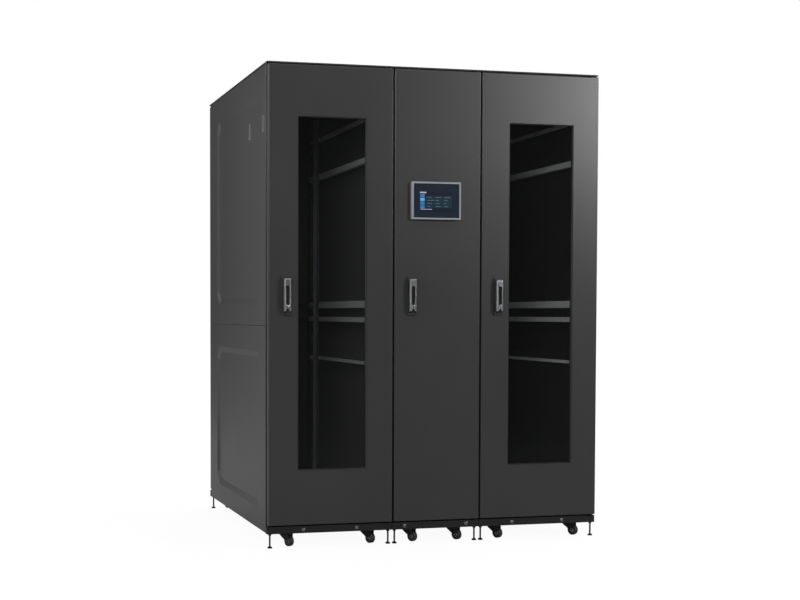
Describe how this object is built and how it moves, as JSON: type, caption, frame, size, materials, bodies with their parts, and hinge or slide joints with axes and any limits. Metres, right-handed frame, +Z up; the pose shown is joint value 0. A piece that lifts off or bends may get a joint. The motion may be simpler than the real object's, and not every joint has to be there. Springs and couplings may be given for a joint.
{
  "type": "server rack cabinet row",
  "caption": "Bayed row of server cabinets: two glazed racks with a narrow bay between them that carries a touch display, on casters and levelling feet.",
  "frame": {"origin": "on the floor, under the middle of the row", "axes": "+X along the front to the right, +Y from the front doors to the rear doors, +Z up"},
  "size_m": [1.642, 1.458, 2.216],
  "materials": {
    "cabinet_paint": "fine satin powder coat",
    "frame_paint": "satin powder coat",
    "lining_paint": "satin powder coat",
    "plinth_paint": "satin powder coat",
    "rail_paint": "satin powder coat",
    "bar_steel": "galvanised, satin",
    "zinc_steel": "zinc plated",
    "foot_steel": "dark plated",
    "caster_steel": "black coated steel",
    "caster_tread": "matte",
    "handle_black": "fine grain",
    "handle_metal": "satin silver die casting",
    "tinted_glass": "dark tinted, polished",
    "display_bezel": "satin silver grey",
    "display_glass": "glossy touch panel"
  },
  "bodies": {
    "frame": {"partitions": "lining_paint", "plinth_rails": "plinth_paint", "cross_beams": "frame_paint", "side_beams": "frame_paint", "floor_plates": "frame_paint", "left_corner_posts": "frame_paint", "middle_corner_posts": "frame_paint", "right_corner_posts": "frame_paint", "roof_panels": "cabinet_paint", "left_upper_side_panel": "cabinet_paint", "left_lower_side_panel": "cabinet_paint", "right_upper_side_panel": "cabinet_paint", "right_lower_side_panel": "cabinet_paint", "left_mounting_rails": "rail_paint", "right_mounting_rails": "rail_paint", "left_side_bars": "bar_steel", "right_side_bars": "bar_steel", "hinge_brackets": "foot_steel", "caster_mounts": "caster_steel", "levelling_feet": "foot_steel", "side_panel_latches": "zinc_steel", "rear_caster_forks": "caster_steel", "rear_caster_wheels": "caster_tread"},
    "left_front_door": {"left_front_door": "cabinet_paint", "left_handle_dish": "handle_black", "left_door_glass": "tinted_glass"},
    "left_handle_spindle": {"left_handle_spindle": "handle_metal"},
    "left_handle_lever": {"left_handle_lever": "handle_metal"},
    "left_rear_door": {"left_rear_door": "cabinet_paint", "left_rear_handle": "handle_black"},
    "left_bay_left_caster_fork": {"left_bay_left_caster_fork": "caster_steel"},
    "left_bay_left_caster_wheel": {"left_bay_left_caster_wheel": "caster_tread"},
    "left_bay_right_caster_fork": {"left_bay_right_caster_fork": "caster_steel"},
    "left_bay_right_caster_wheel": {"left_bay_right_caster_wheel": "caster_tread"},
    "middle_front_door": {"middle_front_door": "cabinet_paint", "middle_handle_dish": "handle_black", "display_housing": "display_bezel", "display_face": "display_glass"},
    "middle_handle_spindle": {"middle_handle_spindle": "handle_metal"},
    "middle_handle_lever": {"middle_handle_lever": "handle_metal"},
    "middle_rear_door": {"middle_rear_door": "cabinet_paint", "middle_rear_handle": "handle_black"},
    "middle_bay_left_caster_fork": {"middle_bay_left_caster_fork": "caster_steel"},
    "middle_bay_left_caster_wheel": {"middle_bay_left_caster_wheel": "caster_tread"},
    "middle_bay_right_caster_fork": {"middle_bay_right_caster_fork": "caster_steel"},
    "middle_bay_right_caster_wheel": {"middle_bay_right_caster_wheel": "caster_tread"},
    "right_front_door": {"right_front_door": "cabinet_paint", "right_handle_dish": "handle_black", "right_door_glass": "tinted_glass"},
    "right_handle_spindle": {"right_handle_spindle": "handle_metal"},
    "right_handle_lever": {"right_handle_lever": "handle_metal"},
    "right_rear_door": {"right_rear_door": "cabinet_paint", "right_rear_handle": "handle_black"},
    "right_bay_left_caster_fork": {"right_bay_left_caster_fork": "caster_steel"},
    "right_bay_left_caster_wheel": {"right_bay_left_caster_wheel": "caster_tread"},
    "right_bay_right_caster_fork": {"right_bay_right_caster_fork": "caster_steel"},
    "right_bay_right_caster_wheel": {"right_bay_right_caster_wheel": "caster_tread"}
  },
  "joints": [
    {"name": "left_front_door_hinge", "type": "hinge", "parent": "frame", "child": "left_front_door", "pos_m": [-0.233, -0.691, 1.1545], "axis": [0, 0, 1], "range_deg": [0, 120]},
    {"name": "left_handle_turn", "type": "hinge", "parent": "left_front_door", "child": "left_handle_spindle", "pos_m": [-0.728, -0.708, 1.224], "axis": [0, -1, 0], "range_deg": [0, 90]},
    {"name": "left_handle_lift", "type": "hinge", "parent": "left_handle_spindle", "child": "left_handle_lever", "pos_m": [-0.728, -0.72, 1.224], "axis": [-1, 0, 0], "range_deg": [0, 25]},
    {"name": "left_rear_door_hinge", "type": "hinge", "parent": "frame", "child": "left_rear_door", "pos_m": [-0.797, 0.691, 1.1545], "axis": [0, 0, 1], "range_deg": [0, 120]},
    {"name": "left_bay_left_caster_swivel", "type": "hinge", "parent": "frame", "child": "left_bay_left_caster_fork", "pos_m": [-0.711, -0.628, 0.057], "axis": [0, 0, 1], "continuous": true},
    {"name": "left_bay_left_caster_roll", "type": "hinge", "parent": "left_bay_left_caster_fork", "child": "left_bay_left_caster_wheel", "pos_m": [-0.7017, -0.64794, 0.027], "axis": [0.9063, 0.4226, 0], "continuous": true},
    {"name": "left_bay_right_caster_swivel", "type": "hinge", "parent": "frame", "child": "left_bay_right_caster_fork", "pos_m": [-0.319, -0.628, 0.057], "axis": [0, 0, 1], "continuous": true},
    {"name": "left_bay_right_caster_roll", "type": "hinge", "parent": "left_bay_right_caster_fork", "child": "left_bay_right_caster_wheel", "pos_m": [-0.3097, -0.64794, 0.027], "axis": [0.9063, 0.4226, 0], "continuous": true},
    {"name": "middle_front_door_hinge", "type": "hinge", "parent": "frame", "child": "middle_front_door", "pos_m": [0.197, -0.691, 1.1545], "axis": [0, 0, 1], "range_deg": [0, 120]},
    {"name": "middle_handle_turn", "type": "hinge", "parent": "middle_front_door", "child": "middle_handle_spindle", "pos_m": [-0.128, -0.708, 1.224], "axis": [0, -1, 0], "range_deg": [0, 90]},
    {"name": "middle_handle_lift", "type": "hinge", "parent": "middle_handle_spindle", "child": "middle_handle_lever", "pos_m": [-0.128, -0.72, 1.224], "axis": [-1, 0, 0], "range_deg": [0, 25]},
    {"name": "middle_rear_door_hinge", "type": "hinge", "parent": "frame", "child": "middle_rear_door", "pos_m": [-0.197, 0.691, 1.1545], "axis": [0, 0, 1], "range_deg": [0, 120]},
    {"name": "middle_bay_left_caster_swivel", "type": "hinge", "parent": "frame", "child": "middle_bay_left_caster_fork", "pos_m": [-0.111, -0.628, 0.057], "axis": [0, 0, 1], "continuous": true},
    {"name": "middle_bay_left_caster_roll", "type": "hinge", "parent": "middle_bay_left_caster_fork", "child": "middle_bay_left_caster_wheel", "pos_m": [-0.1017, -0.64794, 0.027], "axis": [0.9063, 0.4226, 0], "continuous": true},
    {"name": "middle_bay_right_caster_swivel", "type": "hinge", "parent": "frame", "child": "middle_bay_right_caster_fork", "pos_m": [0.111, -0.628, 0.057], "axis": [0, 0, 1], "continuous": true},
    {"name": "middle_bay_right_caster_roll", "type": "hinge", "parent": "middle_bay_right_caster_fork", "child": "middle_bay_right_caster_wheel", "pos_m": [0.1203, -0.64794, 0.027], "axis": [0.9063, 0.4226, 0], "continuous": true},
    {"name": "right_front_door_hinge", "type": "hinge", "parent": "frame", "child": "right_front_door", "pos_m": [0.797, -0.691, 1.1545], "axis": [0, 0, 1], "range_deg": [0, 120]},
    {"name": "right_handle_turn", "type": "hinge", "parent": "right_front_door", "child": "right_handle_spindle", "pos_m": [0.302, -0.708, 1.224], "axis": [0, -1, 0], "range_deg": [0, 90]},
    {"name": "right_handle_lift", "type": "hinge", "parent": "right_handle_spindle", "child": "right_handle_lever", "pos_m": [0.302, -0.72, 1.224], "axis": [-1, 0, 0], "range_deg": [0, 25]},
    {"name": "right_rear_door_hinge", "type": "hinge", "parent": "frame", "child": "right_rear_door", "pos_m": [0.233, 0.691, 1.1545], "axis": [0, 0, 1], "range_deg": [0, 120]},
    {"name": "right_bay_left_caster_swivel", "type": "hinge", "parent": "frame", "child": "right_bay_left_caster_fork", "pos_m": [0.319, -0.628, 0.057], "axis": [0, 0, 1], "continuous": true},
    {"name": "right_bay_left_caster_roll", "type": "hinge", "parent": "right_bay_left_caster_fork", "child": "right_bay_left_caster_wheel", "pos_m": [0.3283, -0.64794, 0.027], "axis": [0.9063, 0.4226, 0], "continuous": true},
    {"name": "right_bay_right_caster_swivel", "type": "hinge", "parent": "frame", "child": "right_bay_right_caster_fork", "pos_m": [0.711, -0.628, 0.057], "axis": [0, 0, 1], "continuous": true},
    {"name": "right_bay_right_caster_roll", "type": "hinge", "parent": "right_bay_right_caster_fork", "child": "right_bay_right_caster_wheel", "pos_m": [0.7203, -0.64794, 0.027], "axis": [0.9063, 0.4226, 0], "continuous": true}
  ]
}
